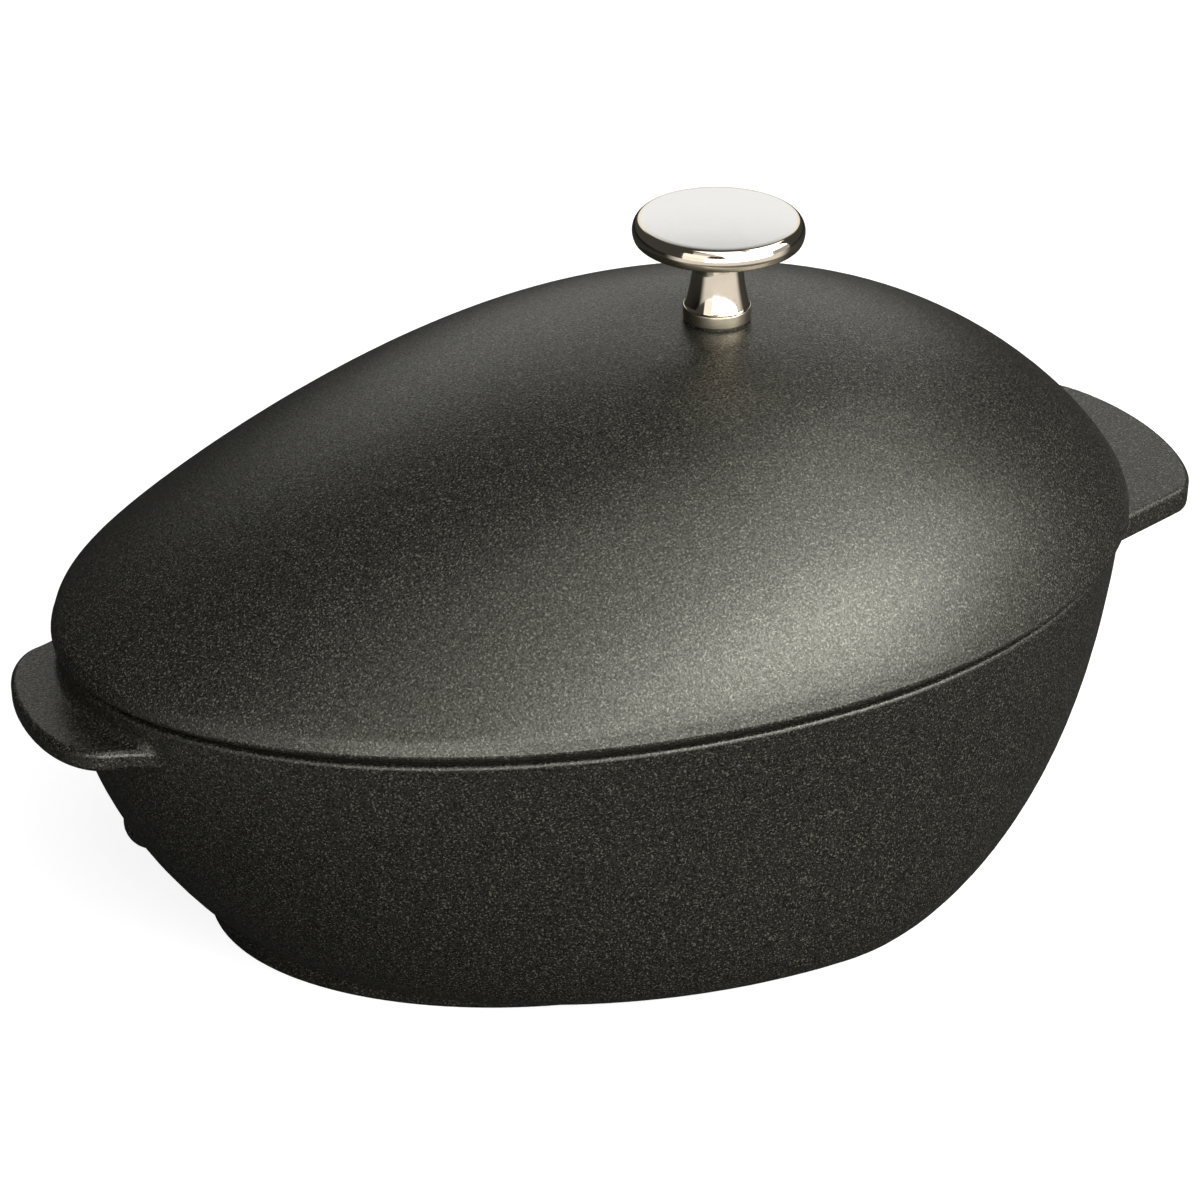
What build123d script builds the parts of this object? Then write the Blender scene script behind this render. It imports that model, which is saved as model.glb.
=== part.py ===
from build123d import *
import math
import os

# Enamelled cast-iron mussel pot with a tall domed lid, in millimetres.
# X runs from the narrow end to the wide end and +Z is up. The origin is under the middle of the
# overall length, on the surface that the foot stands on.

# Egg-shaped plan of the rim: its two tips on the X axis, its half width and where it is widest
rim_narrow = -131.5
rim_wide = 118.5
rim_half = 86.5
rim_crown = 7.5
# Handles of the plan's curves, as shares of what they span: tip and side of each end
narrow_tip_pull = 0.5
narrow_side_pull = 0.545
wide_side_pull = 0.477
wide_tip_pull = 0.655
circle_pull = 0.5523

# Hull of the pot: heights of its side curve, and how far each control point lies inside the rim
pot_height = 76.0
hull_turn_height = 34.1
hull_base_height = 5.0
narrow_bilge_inset = 28.7
narrow_base_inset = 30.0
wide_turn_inset = 2.2
wide_bilge_inset = 17.3
wide_base_inset = 54.0
side_turn_inset = 4.2
side_bilge_inset = 0.4
side_base_inset = 8.5
crown_turn_shift = 3.9
crown_bilge_shift = 0.4
crown_base_shift = 8.0

# Walls, floor and rim
wall = 4.0
floor_height = 9.0
rim_round = 0.9
inner_rim_round = 0.8

# Foot ring under the hull
foot_narrow_step = 1.3
foot_wide_step = 9.0
foot_side_step = 11.2
foot_crown_shift = 20.0
foot_height = 9.0
foot_ring = 7.0
foot_recess = 4.0
foot_round = 0.8

# Small cast nub under the narrow lug
nub_share = 0.41
nub_radius = 4.0
nub_proud = 1.4

# Lug handles: plates below the rim. Their sides flare from a bend into the wall, and the nose curves
# beyond it. A round runs along the corner where each meets the wall. Half widths are shares of the rim's
# half width, and each root lies inside the rim's plan by its inset.
lug_bed = 12.0
lug_lean = 0.28
lug_run = 8.0
lug_corner_round = 2.0
narrow_lug_drop = 5.8
narrow_lug_reach = 11.4
narrow_lug_root_inset = 2.7
narrow_lug_bend = 1.2
narrow_lug_share = 0.273
narrow_lug_side_pull = 3.2
narrow_lug_tip_pull = 16.8
narrow_lug_thick = 4.8
narrow_lug_round = 1.2
wide_lug_drop = 4.0
wide_lug_reach = 24.1
wide_lug_root_inset = 2.2
wide_lug_bend = 11.5
wide_lug_share = 0.373
wide_lug_side_pull = 7.5
wide_lug_tip_pull = 14.5
wide_lug_thick = 6.5
wide_lug_round = 1.1

# Lid: flared edge, dome, seat and the lip that centres it in the pot's mouth
lid_edge_overhang = 2.1
lid_overhang = 0.7
lid_gap = 1.9
lid_band = 3.9
lid_edge_round = 1.2
land_inset = 2.2
lip_clearance = 1.0
lip_thick = 3.0
lip_depth = 3.2
lip_round = 0.8
dome_height = 44.2
dome_rise = 2.6
dome_lean = 0.8
apex_x = 22.0
apex_radius = 9.0
narrow_dome_pull = 75.2
wide_dome_pull = 69.2
side_dome_pull = 67.3
crown_dome_pull = 10.8
round_dome_pull = 0.257
lid_wall = 4.0
lid_turn_wall = 3.0

# Knob pad on the lid, and the knob
pad_radius = 7.4
pad_height = 0.4
knob_height = 24.0
knob_radius = 18.9
knob_face_radius = 17.3
knob_shoulder_radius = 18.4
knob_lip_radius = 17.7
knob_edge_height = 2.7
knob_band_height = 1.9
knob_lip_height = 0.6
knob_turn = 0.35
knob_under_slope = 1.0
knob_neck_radius = 5.6
knob_waist_radius = 6.0
knob_flare_radius = 7.3
knob_base_radius = 7.6
knob_base_height = 3.1
knob_waist_height = 7.5
knob_neck_low = 11.5
knob_neck_high = 14.0
knob_under_radius = 8.5

# Screw and washer that hold the knob from inside the lid
screw_radius = 3.0
screw_engagement = 9.0
screw_head_radius = 5.2
screw_head_height = 3.0
screw_head_round = 1.0
screw_slot_width = 1.2
screw_slot_depth = 1.4
thread_clearance = 0.05
screw_clearance = 0.3
knob_bore_spare = 2.0
washer_radius = 7.5
washer_thick = 1.2

# Strainer: perforated false floor on pressed feet
strainer_height = 14.0
strainer_thick = 1.2
strainer_clearance = 2.5
strainer_border = 6.0
hole_radius = 2.5
hole_pitch = 11.0
strainer_foot_radius = 5.0
strainer_foot_taper = 4.0
strainer_foot_end = 45.0
strainer_foot_side = 40.0
strainer_middle = -4.0

# Lifting loop on the strainer
loop_wire = 3.0
loop_half_width = 13.0
loop_straight = 10.0


def plan_curves(height, narrow, wide, half, crown, roundness):
    """Control points of the plan's two curves on the +Y side. Roundness 1 makes quarter ellipses."""
    pulls = (narrow_tip_pull, narrow_side_pull, wide_side_pull, wide_tip_pull)
    tip_n, side_n, side_w, tip_w = [pull + (circle_pull - pull) * roundness for pull in pulls]
    narrow_side = crown - side_n * (crown - narrow)
    wide_side = crown + side_w * (wide - crown)
    narrow_end = [(narrow, 0), (narrow, tip_n * half), (narrow_side, half), (crown, half)]
    wide_end = [(crown, half), (wide_side, half), (wide, tip_w * half), (wide, 0)]
    return [[(x, y, height) for x, y in curve] for curve in (narrow_end, wide_end)]


def plan(height, *sizes):
    """Egg-shaped face at a height: two curves on the +Y side, mirrored."""
    with BuildSketch(Plane.XY.offset(height)) as level:
        with BuildLine():
            for curve in plan_curves(0, *sizes):
                Bezier(*curve)
            mirror(about=Plane.XZ)
        make_face()
    return level.sketch


def rim_level(height, inset):
    """Level at a height with the sizes of the rim's plan, drawn in by an inset."""
    return (height, rim_narrow + inset, rim_wide - inset, rim_half - inset, rim_crown, 0)


def rim_plan(height, inset):
    """Plan of the rim, drawn in by an inset."""
    return plan(*rim_level(height, inset))


def egg_solid(controls):
    """Solid with flat ends and four curved sides, from the four control levels of its sides."""
    sides = []
    for end in zip(*[plan_curves(*level) for level in controls]):
        side = Face.make_bezier_surface([list(row) for row in end])
        sides += [side, side.mirror(Plane.XZ)]
    caps = [plan(*controls[0]).face(), plan(*controls[-1]).face()]
    return Solid(Shell(sides + caps))


def level_at(share, controls):
    """Height and sizes, or point, at a share of the way along four control levels or points."""
    rest = 1 - share
    weights = (rest**3, 3 * rest**2 * share, 3 * rest * share**2, share**3)
    return [sum(weight * value for weight, value in zip(weights, values)) for values in zip(*controls)]


def share_at(height, controls):
    """Share of the way along falling control levels or points at which a first value is passed."""
    above, below = 0.0, 1.0
    while below - above > 1e-6:
        middle = (above + below) / 2
        if level_at(middle, controls)[0] > height:
            above = middle
        else:
            below = middle
    return middle


def rim_half_at(x):
    """Half width of the rim's plan at a place along its length."""
    narrow_end, wide_end = plan_curves(*rim_level(0, 0))
    curve = (wide_end if x > rim_crown else narrow_end)[::-1]
    return level_at(share_at(x, curve), curve)[1]


def hull_controls(inset, base_height):
    """Control levels of the hull from rim to base, drawn in by an inset.

    Each is its height, two tips, half width, crown and roundness.
    """
    narrow, wide, half = rim_narrow + inset, rim_wide - inset, rim_half - inset
    return [
        (pot_height, narrow, wide, half, rim_crown, 0),
        (hull_turn_height, narrow, wide - wide_turn_inset, half - side_turn_inset,
         rim_crown + crown_turn_shift, 0),
        (base_height, narrow + narrow_bilge_inset, wide - wide_bilge_inset, half - side_bilge_inset,
         rim_crown + crown_bilge_shift, 0),
        (base_height, narrow + narrow_base_inset, wide - wide_base_inset, half - side_base_inset,
         rim_crown + crown_base_shift, 0),
    ]


def dome_controls(edge_height, top_height, edge_inset, turn_inset):
    """Control levels of the lid's dome from its edge to the apex, drawn in by insets at edge and turn."""
    return [
        rim_level(edge_height, edge_inset),
        rim_level(edge_height + dome_rise, edge_inset + dome_lean),
        (top_height, apex_x - narrow_dome_pull + turn_inset, apex_x + wide_dome_pull - turn_inset,
         side_dome_pull - turn_inset, apex_x - crown_dome_pull, round_dome_pull),
        (top_height, apex_x - apex_radius, apex_x + apex_radius, apex_radius, apex_x, 1),
    ]


def lug(rim_tip, drop, reach, root, bend, half, side_pull, tip_pull, thick, edge_round):
    """Lug plate that stands out along +X from a rim tip, its root buried in the wall."""
    bed_place = (rim_tip - lug_bed, root)
    bend_place = (rim_tip + bend, half)
    tip_place = (rim_tip + reach, 0)
    with BuildPart() as plate:
        with BuildSketch(Plane.XY.offset(pot_height - drop)):
            with BuildLine():
                Line((rim_tip - lug_bed, 0), bed_place)
                Bezier(bed_place, (rim_tip + bend - lug_run, half + lug_lean * lug_run), bend_place)
                Bezier(bend_place, (rim_tip + bend + side_pull, half - lug_lean * side_pull),
                       (rim_tip + reach, tip_pull), tip_place)
                mirror(about=Plane.XZ)
            make_face()
        extrude(amount=-thick)
        level_edges = plate.edges().filter_by(lambda edge: edge.bounding_box().size.Z < edge_round)
        fillet(level_edges.filter_by(lambda edge: edge.center().X > rim_tip - lug_bed + 1), edge_round)
    return plate.part


# Pot: foot, hull, lugs and nub in one casting, hollowed to an even wall
narrow_lug_root = rim_half_at(rim_narrow + lug_bed) - narrow_lug_root_inset
wide_lug_root = rim_half_at(rim_wide - lug_bed) - wide_lug_root_inset
narrow_lug = lug(-rim_narrow, narrow_lug_drop, narrow_lug_reach, narrow_lug_root, narrow_lug_bend,
                 narrow_lug_share * rim_half, narrow_lug_side_pull, narrow_lug_tip_pull,
                 narrow_lug_thick, narrow_lug_round)
wide_lug = lug(rim_wide, wide_lug_drop, wide_lug_reach, wide_lug_root, wide_lug_bend,
               wide_lug_share * rim_half, wide_lug_side_pull, wide_lug_tip_pull, wide_lug_thick,
               wide_lug_round)
hull = hull_controls(0, hull_base_height)
cavity = hull_controls(wall, floor_height)
base_narrow, base_wide, base_half, base_crown = hull[-1][1:5]
foot_narrow, foot_wide = base_narrow - foot_narrow_step, base_wide - foot_wide_step
foot_half, foot_crown = base_half - foot_side_step, base_crown - foot_crown_shift

nub_z, nub_x = level_at(nub_share, hull)[:2]
below_z, below_x = level_at(nub_share + 0.01, hull)[:2]
nub_ball = (nub_radius**2 + nub_proud**2) / (2 * nub_proud)
nub_slope = math.atan2(nub_z - below_z, below_x - nub_x)
nub_depth = nub_ball - nub_proud
nub_centre = (nub_x + nub_depth * math.sin(nub_slope), 0, nub_z + nub_depth * math.cos(nub_slope))

with BuildPart() as pot:
    extrude(to_extrude=plan(0, foot_narrow, foot_wide, foot_half, foot_crown, 0), amount=foot_height)
    fillet(pot.faces().sort_by(Axis.Z)[0].edges(), foot_round)
    add(egg_solid(hull))
    add(narrow_lug.mirror(Plane.YZ))
    fillet(pot.edges(Select.NEW), lug_corner_round)
    add(wide_lug)
    fillet(pot.edges(Select.NEW), lug_corner_round)
    with Locations(nub_centre):
        Sphere(nub_ball)
    add(egg_solid(cavity), mode=Mode.SUBTRACT)
    recess = plan(0, foot_narrow + foot_ring, foot_wide - foot_ring, foot_half - foot_ring, foot_crown, 0)
    extrude(to_extrude=recess, amount=foot_recess, mode=Mode.SUBTRACT)
    rim_face = pot.faces().filter_by(Plane.XY).sort_by(Axis.Z)[-1]
    fillet(rim_face.outer_wire().edges(), rim_round)
    rim_face = pot.faces().filter_by(Plane.XY).sort_by(Axis.Z)[-1]
    fillet(rim_face.inner_wires()[0].edges(), inner_rim_round)
pot.part.label = "pot"

# Lid: flared edge and dome outside, seat land on the rim, lip inside the mouth, hollowed to an even wall
land_height = pot_height
band_height = pot_height + lid_gap
shoulder_height = band_height + lid_band
apex_height = shoulder_height + dome_height
pad_top = apex_height + pad_height
lip_inset = wall + lip_clearance
mouth_inset = lip_inset + lip_thick
inner_apex = apex_height - lid_wall
lid_flare = lid_edge_overhang - lid_overhang
band_controls = [rim_level(band_height + lid_band * share, lid_flare * share - lid_edge_overhang)
                 for share in (0, 1 / 3, 2 / 3, 1)]
with BuildPart() as lid:
    add(egg_solid(band_controls))
    fillet(lid.faces().sort_by(Axis.Z)[0].edges(), lid_edge_round)
    add(egg_solid(dome_controls(shoulder_height, apex_height, -lid_overhang, 0)))
    extrude(to_extrude=rim_plan(land_height, land_inset), amount=lid_gap + lid_edge_round)
    extrude(to_extrude=rim_plan(land_height - lip_depth, lip_inset), amount=lip_depth + lid_gap)
    fillet(lid.faces().sort_by(Axis.Z)[0].edges(), lip_round)
    with BuildSketch(Plane.XY.offset(apex_height - lid_wall / 2)):
        with Locations((apex_x, 0)):
            Circle(pad_radius)
    extrude(amount=pad_height + lid_wall / 2)
    extrude(to_extrude=rim_plan(land_height - lip_depth, mouth_inset),
            amount=shoulder_height - land_height + lip_depth, mode=Mode.SUBTRACT)
    add(egg_solid(dome_controls(shoulder_height, inner_apex, mouth_inset, lid_turn_wall)), mode=Mode.SUBTRACT)
    with BuildSketch(Plane.XY.offset(pad_top)):
        with Locations((apex_x, 0)):
            Circle(screw_radius + screw_clearance)
    extrude(amount=-(pad_top - inner_apex), mode=Mode.SUBTRACT)
lid.part.label = "lid"

# Knob: flat disc with a rounded edge on a flared stem, turned about the lid's apex
knob_axis = Axis((apex_x, 0, 0), (0, 0, 1))
band_top = knob_height - knob_edge_height
band_bottom = band_top - knob_band_height
lip_bottom = band_bottom - knob_lip_height
with BuildPart() as knob:
    with BuildSketch(Plane((apex_x, 0, pad_top), x_dir=(1, 0, 0), z_dir=(0, -1, 0))):
        with BuildLine():
            Polyline((0, 0), (knob_base_radius, 0), (knob_base_radius, knob_base_height),
                     (knob_flare_radius, knob_base_height))
            Bezier((knob_flare_radius, knob_base_height), (knob_waist_radius, knob_waist_height),
                   (knob_neck_radius, knob_neck_low))
            Line((knob_neck_radius, knob_neck_low), (knob_neck_radius, knob_neck_high))
            Bezier((knob_neck_radius, knob_neck_high), (knob_neck_radius, lip_bottom - knob_under_slope),
                   (knob_under_radius, lip_bottom - knob_under_slope))
            Line((knob_under_radius, lip_bottom - knob_under_slope), (knob_lip_radius, lip_bottom))
            Bezier((knob_lip_radius, lip_bottom), (knob_shoulder_radius, band_bottom),
                   (knob_radius, (band_bottom + band_top) / 2), (knob_radius, band_top))
            Bezier((knob_radius, band_top), (knob_shoulder_radius, knob_height - knob_turn),
                   (knob_face_radius, knob_height))
            Polyline((knob_face_radius, knob_height), (0, knob_height), (0, 0))
        make_face()
    revolve(axis=knob_axis)
    with BuildSketch(Plane.XY.offset(pad_top)):
        with Locations((apex_x, 0)):
            Circle(screw_radius + thread_clearance)
    extrude(amount=screw_engagement + knob_bore_spare, mode=Mode.SUBTRACT)
knob.part.label = "knob"

# Washer under the lid's apex and the slotted screw through it
with BuildPart() as knob_washer:
    with BuildSketch(Plane.XY.offset(inner_apex)):
        with Locations((apex_x, 0)):
            Circle(washer_radius)
            Circle(screw_radius + screw_clearance, mode=Mode.SUBTRACT)
    extrude(amount=-washer_thick)
knob_washer.part.label = "knob_washer"

head_top = inner_apex - washer_thick
with BuildPart() as knob_screw:
    with BuildSketch(Plane.XY.offset(head_top)):
        with Locations((apex_x, 0)):
            Circle(screw_head_radius)
    extrude(amount=-screw_head_height)
    fillet(knob_screw.faces().sort_by(Axis.Z)[0].edges(), screw_head_round)
    with BuildSketch(Plane.XY.offset(head_top - screw_head_height)):
        with Locations((apex_x, 0)):
            Rectangle(3 * screw_head_radius, screw_slot_width)
    extrude(amount=screw_slot_depth, mode=Mode.SUBTRACT)
    with BuildSketch(Plane.XY.offset(head_top)):
        with Locations((apex_x, 0)):
            Circle(screw_radius)
    extrude(amount=pad_top - head_top + screw_engagement)
knob_screw.part.label = "knob_screw"

# Strainer: plate inside the hull's wall at its own height, pressed feet under it, holes in rows across it
plate_bottom = floor_height + strainer_height
plate_top = plate_bottom + strainer_thick
plate_walls = hull_controls(wall + strainer_clearance, floor_height)
plate_sizes = level_at(share_at(plate_bottom, plate_walls), plate_walls)[1:]
plate_narrow, plate_wide, plate_half, plate_crown = plate_sizes[:4]


def inside_plate(x, y, margin):
    """Whether a point lies inside the strainer's plan by a margin, the plan taken as two half ellipses."""
    end = plate_wide if x > plate_crown else plate_narrow
    along = (x - plate_crown) / (abs(end - plate_crown) - margin)
    across = y / (plate_half - margin)
    return along**2 + across**2 < 1


foot_places = [(strainer_middle + end * strainer_foot_end, side * strainer_foot_side)
               for end in (-1, 1) for side in (-1, 1)]
loop_places = [(strainer_middle, side * loop_half_width) for side in (-1, 1)]


def is_hole(x, y):
    """Whether the strainer has a hole here: inside its border, clear of its feet and the loop's ends."""
    solid = foot_places + loop_places
    clear = strainer_foot_radius + hole_radius + strainer_thick
    return inside_plate(x, y, strainer_border) and all(math.dist((x, y), place) > clear for place in solid)


columns = math.ceil((plate_wide - plate_narrow) / hole_pitch)
rows = math.ceil(plate_half / hole_pitch)
grid = [((column + (row % 2) / 2) * hole_pitch, row * hole_pitch)
        for column in range(-columns, columns + 1) for row in range(-rows, rows + 1)]
hole_places = [place for place in grid if is_hole(*place)]
with BuildPart() as strainer:
    extrude(to_extrude=plan(plate_bottom, *plate_sizes), amount=strainer_thick)
    with BuildSketch(Plane.XY.offset(plate_bottom)):
        with Locations(*hole_places):
            Circle(hole_radius)
    extrude(amount=strainer_thick, mode=Mode.SUBTRACT)
    with BuildSketch(Plane.XY.offset(plate_bottom)):
        with Locations(*foot_places):
            Circle(strainer_foot_radius)
    extrude(amount=-strainer_height, taper=strainer_foot_taper)
    with BuildSketch(Plane.XY.offset(plate_top)):
        with Locations(*foot_places):
            Circle(strainer_foot_radius - strainer_thick)
    extrude(amount=-strainer_height, taper=strainer_foot_taper, mode=Mode.SUBTRACT)
strainer.part.label = "strainer"

# Loop: bent wire standing on the strainer's plate
with BuildPart() as strainer_loop:
    with BuildLine(Plane((strainer_middle, 0, plate_top), x_dir=(0, 1, 0), z_dir=(1, 0, 0))) as loop_line:
        Line((-loop_half_width, 0), (-loop_half_width, loop_straight))
        ThreePointArc((-loop_half_width, loop_straight), (0, loop_straight + loop_half_width),
                      (loop_half_width, loop_straight))
        Line((loop_half_width, loop_straight), (loop_half_width, 0))
    with BuildSketch(Plane.XY.offset(plate_top)):
        with Locations(loop_places[0]):
            Circle(loop_wire / 2)
    sweep(path=loop_line.wire())
strainer_loop.part.label = "strainer_loop"

os.makedirs("parts", exist_ok=True)
export_step(pot.part, "parts/pot.step")
export_step(lid.part, "parts/lid.step")
export_step(knob.part, "parts/knob.step")
export_step(knob_washer.part, "parts/knob_washer.step")
export_step(knob_screw.part, "parts/knob_screw.step")
export_step(strainer.part, "parts/strainer.step")
export_step(strainer_loop.part, "parts/strainer_loop.step")
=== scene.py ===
import bmesh
import bpy
import math
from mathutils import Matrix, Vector


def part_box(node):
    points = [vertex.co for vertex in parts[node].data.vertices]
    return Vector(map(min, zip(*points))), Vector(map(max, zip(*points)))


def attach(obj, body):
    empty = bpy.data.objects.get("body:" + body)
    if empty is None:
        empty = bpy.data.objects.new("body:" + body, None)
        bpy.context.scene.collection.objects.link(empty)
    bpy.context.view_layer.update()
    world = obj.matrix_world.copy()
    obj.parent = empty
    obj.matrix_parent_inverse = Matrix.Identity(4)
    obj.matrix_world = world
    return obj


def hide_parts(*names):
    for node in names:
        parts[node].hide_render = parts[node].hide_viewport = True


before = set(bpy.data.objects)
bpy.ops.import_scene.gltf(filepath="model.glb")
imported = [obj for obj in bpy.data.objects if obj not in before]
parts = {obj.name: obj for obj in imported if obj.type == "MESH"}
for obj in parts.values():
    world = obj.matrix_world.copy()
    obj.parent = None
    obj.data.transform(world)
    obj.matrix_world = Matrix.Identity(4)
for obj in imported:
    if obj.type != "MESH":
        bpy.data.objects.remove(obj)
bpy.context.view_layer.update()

# Viewpoint. The pot is seen from the front and a little to the narrow end, from above the lid, with a long
# lens, so that its sides hardly converge.
view_azimuth = math.radians(-26.653)
view_elevation = math.radians(30.554)
view_distance = 0.71192
view_target = Vector((-0.00682, 0.00016, 0.06102))
photo_width = 1200
focal_length_px = 3119.72
sensor_width = 36.0


def bearing(azimuth, elevation):
    """Direction from the pot to a place around it. Azimuth 0 is the front, and angles are in radians."""
    return Vector((math.sin(azimuth) * math.cos(elevation), -math.cos(azimuth) * math.cos(elevation),
                   math.sin(elevation)))


def aim(thing, target, away, distance):
    """Sets a camera or lamp at a distance from its target, looking at it."""
    thing.location = target + away * distance
    thing.rotation_mode = "QUATERNION"
    thing.rotation_quaternion = away.to_track_quat("Z", "Y")
    bpy.context.scene.collection.objects.link(thing)


camera_data = bpy.data.cameras.new("camera")
camera_data.sensor_width = sensor_width
camera_data.lens = focal_length_px / photo_width * sensor_width
camera_data.clip_start = 0.05
camera_data.clip_end = 20.0
camera = bpy.data.objects.new("camera", camera_data)
aim(camera, view_target, bearing(view_azimuth, view_elevation), view_distance)
bpy.context.scene.camera = camera


# Pot. One thick iron casting with its foot and its two lugs, in matt black enamel that is fired on in
# layers. The enamel lies in a fine dry grain over the slow waviness of the casting. It is rubbed paler on
# the foot's ring, which stands on the hob, and runs thin and glossy over the top edge of the narrow lug.
class Wire:
    """One output of a shader node, which can be used in sums."""

    def __init__(self, finish, socket):
        self.finish = finish
        self.socket = socket

    def __add__(self, other):
        return self.finish.maths("ADD", self, other)

    def __radd__(self, other):
        return self.finish.maths("ADD", other, self)

    def __sub__(self, other):
        return self.finish.maths("SUBTRACT", self, other)

    def __rsub__(self, other):
        return self.finish.maths("SUBTRACT", other, self)

    def __mul__(self, other):
        return self.finish.maths("MULTIPLY", self, other)

    def __rmul__(self, other):
        return self.finish.maths("MULTIPLY", other, self)


class Finish:
    """A shader tree, built from its nodes."""

    def __init__(self, tree):
        self.tree = tree
        self.tree.nodes.clear()

    def node(self, kind, settings, inputs, output=0):
        """Adds a node, sets it, feeds its sockets with values or wires, and gives one of its outputs."""
        made = self.tree.nodes.new(kind)
        for key, value in settings.items():
            setattr(made, key, value)
        for key, value in inputs.items():
            if isinstance(value, Wire):
                self.tree.links.new(value.socket, made.inputs[key])
            else:
                made.inputs[key].default_value = value
        return Wire(self, made.outputs[output]) if made.outputs else None

    def maths(self, operation, first, second):
        """One sum of two values."""
        return self.node("ShaderNodeMath", {"operation": operation}, {0: first, 1: second})

    def place(self):
        """Place on the object, in metres."""
        return self.node("ShaderNodeTexCoord", {}, {}, "Object")

    def stretch(self, place, factors):
        """Place with each of its coordinates multiplied."""
        return self.node("ShaderNodeVectorMath", {"operation": "MULTIPLY"}, {0: place, 1: factors})

    def grain(self, size, detail, roughness, place=None):
        """Smooth noise from 0 to 1, its lumps about this many metres across."""
        settings = {"Scale": 1.0 / size, "Detail": detail, "Roughness": roughness}
        return self.node("ShaderNodeTexNoise", {}, {"Vector": place or self.place(), **settings})

    def ramp(self, value, low, high, bottom=0.0, top=1.0):
        """Smooth step from bottom to top, as a value goes from low to high."""
        inputs = {"Value": value, "From Min": low, "From Max": high, "To Min": bottom, "To Max": top}
        return self.node("ShaderNodeMapRange", {"interpolation_type": "SMOOTHSTEP"}, inputs)

    def blend(self, share, first, second):
        """Colour between two colours."""
        return self.node("ShaderNodeMix", {"data_type": "RGBA"}, {0: share, 6: first, 7: second}, 2)

    def bump(self, height, depth):
        """Normal that a height from 0 to 1, this many metres deep, gives."""
        return self.node("ShaderNodeBump", {}, {"Height": height, "Distance": depth, "Strength": 1.0})

    def surface(self, **sockets):
        """Principled surface. Underscores in a socket's name stand for spaces."""
        named = {key.replace("_", " "): value for key, value in sockets.items()}
        return self.node("ShaderNodeBsdfPrincipled", {}, named)

    def mix(self, share, first, second):
        """Shader between two shaders."""
        return self.node("ShaderNodeMixShader", {}, {0: share, 1: first, 2: second})


def new_material(name):
    """An empty material, and the finish that fills it."""
    material = bpy.data.materials.new(name)
    material.use_nodes = True
    return material, Finish(material.node_tree)


def finished(finish, shader):
    """Ends a material in its shader."""
    finish.node("ShaderNodeOutputMaterial", {}, {"Surface": shader})


def dress(piece, material):
    """Gives a piece this one material."""
    piece.data.materials.clear()
    piece.data.materials.append(material)


enamel_dark = (0.0020, 0.0020, 0.0018, 1.0)
enamel_pale = (0.0120, 0.0118, 0.0102, 1.0)
enamel_glint = (0.055, 0.053, 0.045, 1.0)
enamel_rubbed = (0.055, 0.054, 0.052, 1.0)
enamel_sheen = (1.0, 0.985, 0.84, 1.0)
grain_size = 0.0005
glint_size = 0.00042
wave_size = 0.007
wave_share = 0.6
bump_depth = 0.00009
speck_range = (0.36, 0.64)
glint_range = (0.62, 0.74)
rub_height = 0.0006
lug_edge_bottom = (0.0686, 0.0690)
lug_edge_top = (0.0700, 0.0702)
lug_inner_end = (-0.119, -0.116)
lug_side = (0.028, 0.030)
enamel_roughness = 0.31
grain_roughness = 0.10
glaze_polish = 0.26
speck_coat = 0.60
glint_coat = 0.40
black_enamel, enamel = new_material("black_enamel")
fine = enamel.grain(grain_size, 2.0, 0.6)
slow = enamel.grain(wave_size, 2.0, 0.5)
specks = enamel.ramp(fine, *speck_range)
glints = enamel.ramp(enamel.grain(glint_size, 0.0, 0.5), *glint_range)
along, beside, level = [enamel.node("ShaderNodeSeparateXYZ", {}, {0: enamel.place()}, axis)
                        for axis in range(3)]
rubbed = enamel.ramp(level, 0.0, rub_height, 1.0, 0.0) * specks
lug_top_edge = enamel.ramp(level, *lug_edge_bottom) * enamel.ramp(level, *lug_edge_top, 1.0, 0.0)
on_lug = enamel.ramp(along, *lug_inner_end, 1.0, 0.0)
on_lug = on_lug * enamel.ramp(enamel.maths("ABSOLUTE", beside, 0.0), *lug_side, 1.0, 0.0)
speckled = enamel.blend(glints, enamel.blend(specks, enamel_dark, enamel_pale), enamel_glint)
finished(enamel, enamel.surface(
    Base_Color=enamel.blend(rubbed, speckled, enamel_rubbed),
    Roughness=enamel_roughness + fine * grain_roughness - lug_top_edge * on_lug * glaze_polish,
    Specular_IOR_Level=0.4,
    Specular_Tint=enamel_sheen,
    Coat_Weight=specks * speck_coat + glints * glint_coat,
    Coat_Roughness=0.38,
    Coat_Tint=enamel_sheen,
    Normal=enamel.bump(fine + slow * wave_share, bump_depth),
))
dress(parts["pot"], black_enamel)

# Lid. The second casting, in the same enamel. Its edge flares out over the rim, and the shadow line
# between the two runs all the way round.
dress(parts["lid"], black_enamel)

# Knob. It is turned from bar, plated in warm nickel and polished, with a satin top that is very slightly
# crowned and painted paler as a partly painted highlight, and a rougher collar at its foot that is painted
# darker as painted shade under the knob's head. The edges are broken by tiny bevels that catch the light.
millimetre = 0.001
knob_low, knob_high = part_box("knob")
knob_centre = Vector(((knob_low[0] + knob_high[0]) / 2, (knob_low[1] + knob_high[1]) / 2, knob_low[2]))
knob_top = knob_high[2]


def curve(points, count):
    """Profile points along a Bezier curve through its control points, without the first."""
    result = []
    for step in range(1, count + 1):
        share = step / count
        line = list(points)
        while len(line) > 1:
            line = [tuple(a + (b - a) * share for a, b in zip(p, q)) for p, q in zip(line, line[1:])]
        result.append(line[0])
    return result


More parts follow.
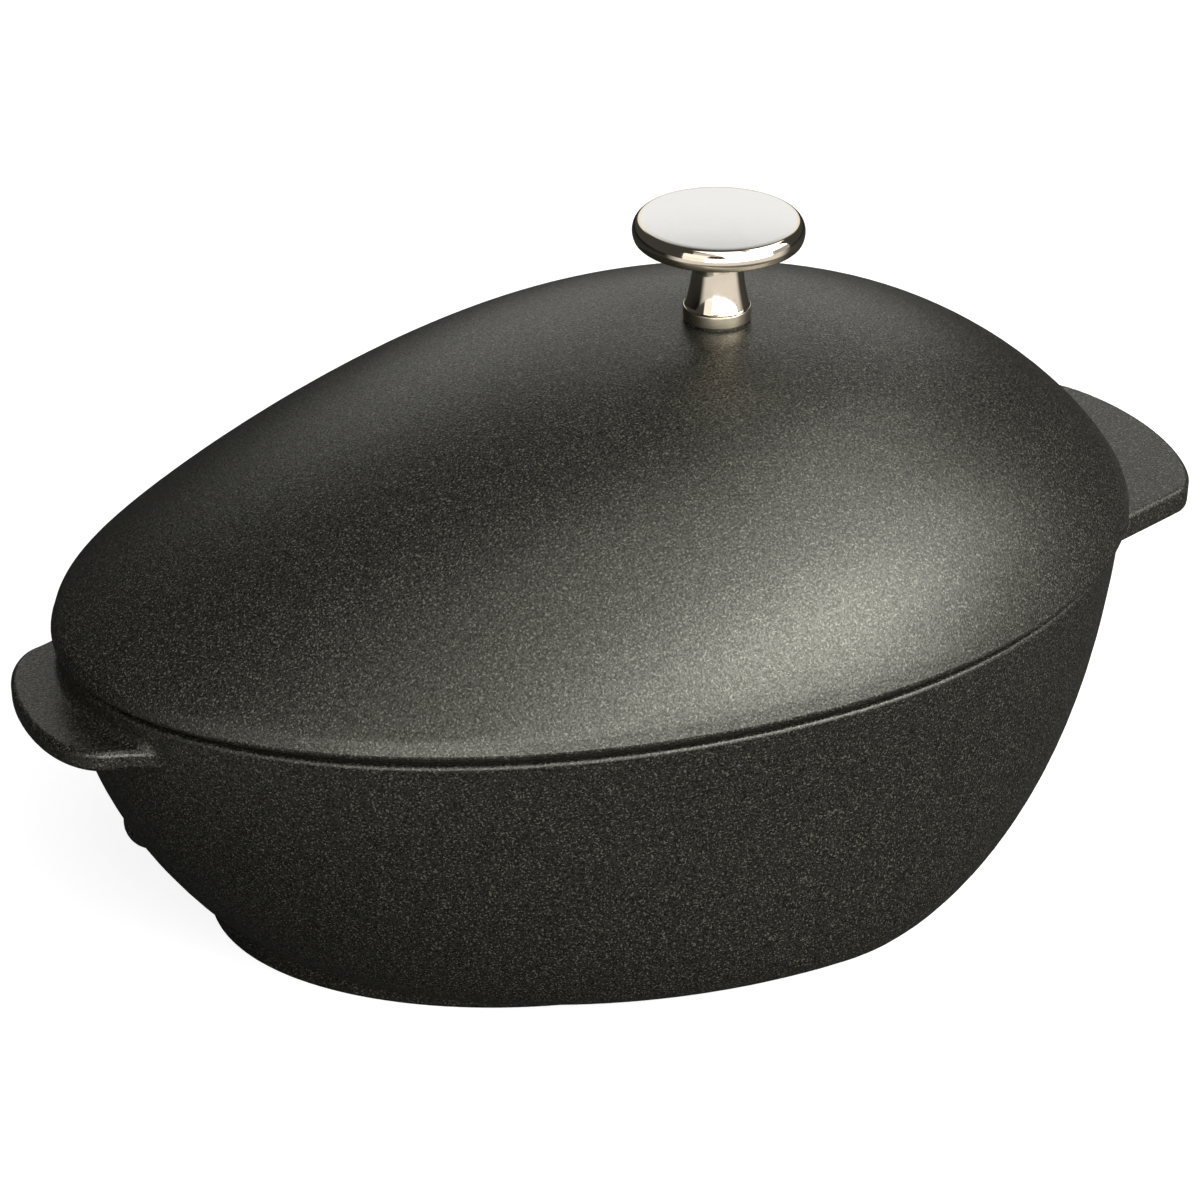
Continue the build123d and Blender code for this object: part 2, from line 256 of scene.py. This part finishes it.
def turned(name, profile, centre, steps, body, material):
    """Piece turned about an upright axis from a profile of radii and heights in millimetres."""
    shape = bmesh.new()
    centre = Vector(centre)
    points = [shape.verts.new(centre + Vector((radius, 0, height)) * millimetre)
              for radius, height in profile]
    lines = [shape.edges.new(pair) for pair in zip(points, points[1:])]
    bmesh.ops.spin(shape, geom=points + lines, cent=centre, axis=(0, 0, 1), angle=math.tau, steps=steps,
                   use_duplicate=False)
    bmesh.ops.remove_doubles(shape, verts=shape.verts[:], dist=1e-6)
    bmesh.ops.dissolve_degenerate(shape, edges=shape.edges[:], dist=1e-7)
    bmesh.ops.recalc_face_normals(shape, faces=shape.faces[:])
    for face in shape.faces:
        face.smooth = True
    mesh = bpy.data.meshes.new(name)
    shape.to_mesh(mesh)
    shape.free()
    piece = bpy.data.objects.new(name, mesh)
    bpy.context.scene.collection.objects.link(piece)
    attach(piece, body)
    dress(piece, material)
    return piece


# Profile of radii and heights: bore, seat, collar, stem, underside, rounded edge and crowned top
collar_height = 3.1
face_height = 24.0
crown_drop = 0.6
knob_profile = [(0, 11.0), (3.05, 11.0), (3.05, 0.3), (3.35, 0), (7.3, 0), (7.5, 0.06), (7.58, 0.22)]
knob_profile += [(7.6, 0.5), (7.6, 2.7), (7.58, 2.92), (7.5, 3.05), (7.4, collar_height), (7.25, 3.12)]
knob_profile += curve([(7.25, 3.12), (6.0, 7.7), (5.6, 11.7)], 14)
knob_profile += curve([(5.6, 11.7), (5.6, 13.3), (5.6, 14.4)], 3)
knob_profile += curve([(5.6, 14.4), (5.6, 17.8), (8.5, 17.8)], 10)
knob_profile += [(10.0, 17.96), (17.7, 18.7), (18.1, 18.74), (18.38, 18.82), (18.52, 18.96), (18.62, 19.14)]
knob_profile += curve([(18.62, 19.14), (18.84, 19.7), (18.94, 20.2), (18.94, 20.8)], 10)
knob_profile += curve([(18.94, 20.8), (18.86, 22.0), (18.42, 22.8), (17.7, 23.25)], 14)
knob_profile += curve([(17.7, 23.25), (17.52, 23.36), (17.3, face_height - crown_drop)], 5)
knob_profile += curve([(17.3, face_height - crown_drop), (8.6, face_height), (0, face_height)], 12)

nickel_warm = (0.80, 0.69, 0.54, 1.0)
nickel_pale = (0.88, 0.79, 0.65, 1.0)
# Satin top colour, paler than real nickel: partly a painted highlight for the top's reflection of the
# bright wall
nickel_satin_and_highlight = (0.92, 0.91, 0.87, 1.0)
# Painted shade: the collar at the knob's foot, under its head, is painted this darker colour
nickel_painted_shade = (0.42, 0.37, 0.29, 1.0)
haze_size = 0.004
scuff_size = 0.0006
scuff_depth = 0.000004
polish_roughness = 0.05
haze_roughness = 0.04
polished_nickel, nickel = new_material("polished_nickel")
haze = nickel.grain(haze_size, 3.0, 0.5)
scuffs = nickel.grain(scuff_size, 2.0, 0.5)
height = nickel.node("ShaderNodeSeparateXYZ", {}, {0: nickel.place()}, 2)
# Top face mask: real satin roughness, and a partly painted highlight in the colour
satin = nickel.ramp(height, knob_top - (crown_drop + 0.02) * millimetre,
                    knob_top - (crown_drop - 0.06) * millimetre)
# Collar mask: painted shade in the colour, and a real rougher finish in the roughness
collar = nickel.ramp(height, knob_low[2] + (collar_height - 0.1) * millimetre,
                     knob_low[2] + collar_height * millimetre, 1.0, 0.0)
satin_roughness = satin * (0.12 + scuffs * 0.08)
collar_roughness = collar * (0.20 + scuffs * 0.10)
plated = nickel.blend(satin, nickel.blend(haze, nickel_warm, nickel_pale), nickel_satin_and_highlight)
finished(nickel, nickel.surface(
    Base_Color=nickel.blend(collar, plated, nickel_painted_shade),
    Metallic=1.0,
    Roughness=polish_roughness + haze * haze_roughness + satin_roughness + collar_roughness,
    Normal=nickel.bump(scuffs * (satin + collar), scuff_depth),
))
knob = turned("knob_turned", knob_profile, knob_centre, 128, "lid", polished_nickel)
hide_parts("knob")

# Screw and washer, inside the lid. Plain stainless, turned and left bright, with a fine grain.
stainless_dark = (0.46, 0.46, 0.455, 1.0)
stainless_pale = (0.60, 0.60, 0.59, 1.0)
turning_size = 0.0007
turning_depth = 0.000005
bright_stainless, bright = new_material("bright_stainless")
bright_grain = bright.grain(turning_size, 3.0, 0.5)
finished(bright, bright.surface(
    Base_Color=bright.blend(bright_grain, stainless_dark, stainless_pale),
    Metallic=1.0,
    Roughness=0.22 + bright_grain * 0.10,
    Normal=bright.bump(bright_grain, turning_depth),
))
dress(parts["knob_screw"], bright_stainless)
dress(parts["knob_washer"], bright_stainless)

# Strainer. Punched and pressed from one sheet, brushed along its length. The steel is tinted straw and
# brown by the heat round the two welds that hold the loop.
loop_low, loop_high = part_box("strainer_loop")
wire_radius = (loop_high[0] - loop_low[0]) / 2
weld_x = (loop_high[0] + loop_low[0]) / 2
weld_y = loop_high[1] - wire_radius
weld_z = loop_low[2]
heat_straw = (0.52, 0.40, 0.22, 1.0)
stroke_size = 0.0004
stroke_depth = 0.000006
cloud_size = 0.012
brushed_stainless, brushed = new_material("brushed_stainless")
strokes = brushed.grain(stroke_size, 3.0, 0.6, brushed.stretch(brushed.place(), (0.03, 1.0, 1.0)))
clouds = brushed.grain(cloud_size, 2.0, 0.5)
across = brushed.node("ShaderNodeVectorMath", {"operation": "ABSOLUTE"}, {0: brushed.place()})
from_weld = brushed.node("ShaderNodeVectorMath", {"operation": "DISTANCE"},
                         {0: across, 1: (abs(weld_x), weld_y, weld_z)}, "Value")
heated = brushed.ramp(from_weld, wire_radius, 3.2 * wire_radius, 0.8, 0.0)
finished(brushed, brushed.surface(
    Base_Color=brushed.blend(heated, brushed.blend(strokes, stainless_dark, stainless_pale), heat_straw),
    Metallic=1.0,
    Roughness=0.24 + strokes * 0.14 + clouds * 0.06,
    Normal=brushed.bump(strokes, stroke_depth),
))
dress(parts["strainer"], brushed_stainless)

# Loop. Bent from drawn wire, and welded to the strainer by a bead round each foot.
dress(parts["strainer_loop"], bright_stainless)
wire_mm = wire_radius / millimetre
bead_profile = [(wire_mm * 0.8, 0), (wire_mm * 0.8, 1.3), (wire_mm + 0.1, 1.3)]
bead_profile += curve([(wire_mm + 0.1, 1.3), (wire_mm + 0.75, 1.1), (wire_mm + 1.2, 0)], 8)
bead_profile += [(wire_mm * 0.8, 0)]
for side, place in (("left", -weld_y), ("right", weld_y)):
    turned(f"loop_weld_{side}", bead_profile, (weld_x, place, weld_z), 32, "strainer",
           brushed_stainless)

# Studio. The floor is white to the camera, with the pot's soft shadow. In reflections it is dark beside
# the pot, and bright further out in front. Behind the pot stands a white wall that only reflections show.
floor_half = 3.0
floor_mesh = bpy.data.meshes.new("floor")
sheet = bmesh.new()
bmesh.ops.create_grid(sheet, x_segments=1, y_segments=1, size=floor_half)
sheet.to_mesh(floor_mesh)
sheet.free()
floor = bpy.data.objects.new("floor", floor_mesh)
bpy.context.scene.collection.objects.link(floor)

white = (1.0, 1.0, 1.0, 1.0)
seen_grey = (0.36, 0.36, 0.36, 1.0)
unseen_grey = (0.03, 0.03, 0.03, 1.0)
near_light = 0.1
far_light = 0.65
paper_light = 0.82
front = (-0.2, -1.0, 0.0)
floor_paper, paper = new_material("floor_paper")
seen = paper.node("ShaderNodeLightPath", {}, {}, "Is Camera Ray")
mirrored = paper.node("ShaderNodeLightPath", {}, {}, "Is Glossy Ray")
spread = paper.node("ShaderNodeVectorMath", {"operation": "LENGTH"}, {0: paper.place()}, "Value")
outwards = paper.node("ShaderNodeVectorMath", {"operation": "NORMALIZE"}, {0: paper.place()})
frontal = paper.node("ShaderNodeVectorMath", {"operation": "DOT_PRODUCT"},
                     {0: outwards, 1: front}, "Value")
near_glow = paper.ramp(spread, 0.14, 0.24, 0.0, near_light)
far_glow = paper.ramp(spread, 0.26, 0.34, 0.0, far_light)
glow = mirrored * paper.ramp(frontal, 0.0, 0.45) * (near_glow + far_glow)
unseen_floor = paper.surface(Base_Color=unseen_grey, Roughness=1.0, Specular_IOR_Level=0.0,
                             Emission_Color=glow, Emission_Strength=1.0)
seen_floor = paper.surface(Base_Color=seen_grey, Roughness=1.0, Specular_IOR_Level=0.0,
                           Emission_Color=paper.ramp(spread, 0.4, 1.3, paper_light, 1.0),
                           Emission_Strength=1.0)
finished(paper, paper.mix(seen, unseen_floor, seen_floor))
dress(floor, floor_paper)

lamp_distance = 1.4
lamp_width = 0.74
lamp_height = 0.58
lamp_target = Vector((0, 0, 0.06))


def soft_box(name, azimuth, elevation, power):
    """Lamp that looks at the pot from a side and a height, in degrees."""
    lamp_data = bpy.data.lights.new(name, "AREA")
    lamp_data.shape = "RECTANGLE"
    lamp_data.size = lamp_width
    lamp_data.size_y = lamp_height
    lamp_data.energy = power
    lamp = bpy.data.objects.new(name, lamp_data)
    aim(lamp, lamp_target, bearing(math.radians(azimuth), math.radians(elevation)), lamp_distance)


# Side and height in degrees, and watts
for number, (azimuth, elevation, watts) in enumerate((
        (-60, 12, 1.5), (-30, 12, 8.2), (0, 12, 6.4), (30, 12, 7.2), (60, 12, 0.5), (-60, 35, 1.7),
        (0, 35, 6.2), (30, 35, 14.5), (60, 35, 5.6), (-45, 58, 0.8), (0, 58, 3.4), (45, 58, 3.9),
        (90, 58, 3.4), (0, 85, 2.6))):
    soft_box(f"soft_box_{number}", azimuth, elevation, watts)

ambient = 0.05
wall_glow = 0.98
wall_sides = (0.86, 0.94)
wall_top = (0.48, 0.64)
world = bpy.data.worlds.new("studio")
bpy.context.scene.world = world
world.use_nodes = True
sky = Finish(world.node_tree)
looking = sky.node("ShaderNodeTexCoord", {}, {}, "Generated")
rise = sky.node("ShaderNodeSeparateXYZ", {}, {0: looking}, 2)
behind = bearing(view_azimuth + math.pi, view_elevation)
facing = sky.node("ShaderNodeVectorMath", {"operation": "DOT_PRODUCT"},
                  {0: looking, 1: tuple(behind)}, "Value")
wall = sky.ramp(facing, *wall_sides) * sky.ramp(rise, *wall_top, 1.0, 0.0)
sky_camera = sky.node("ShaderNodeLightPath", {}, {}, "Is Camera Ray")
sky_mirror = sky.node("ShaderNodeLightPath", {}, {}, "Is Glossy Ray")
even = sky.node("ShaderNodeBackground", {}, {"Color": white, "Strength": ambient})
bright_wall = sky.node("ShaderNodeBackground", {}, {"Color": white, "Strength": wall_glow})
backdrop = sky.node("ShaderNodeBackground", {}, {"Color": white, "Strength": 1.0})
lit = sky.mix(sky_camera, sky.mix(sky_mirror * wall, even, bright_wall), backdrop)
sky.node("ShaderNodeOutputWorld", {}, {"Surface": lit})

bpy.context.scene.view_settings.view_transform = "Standard"
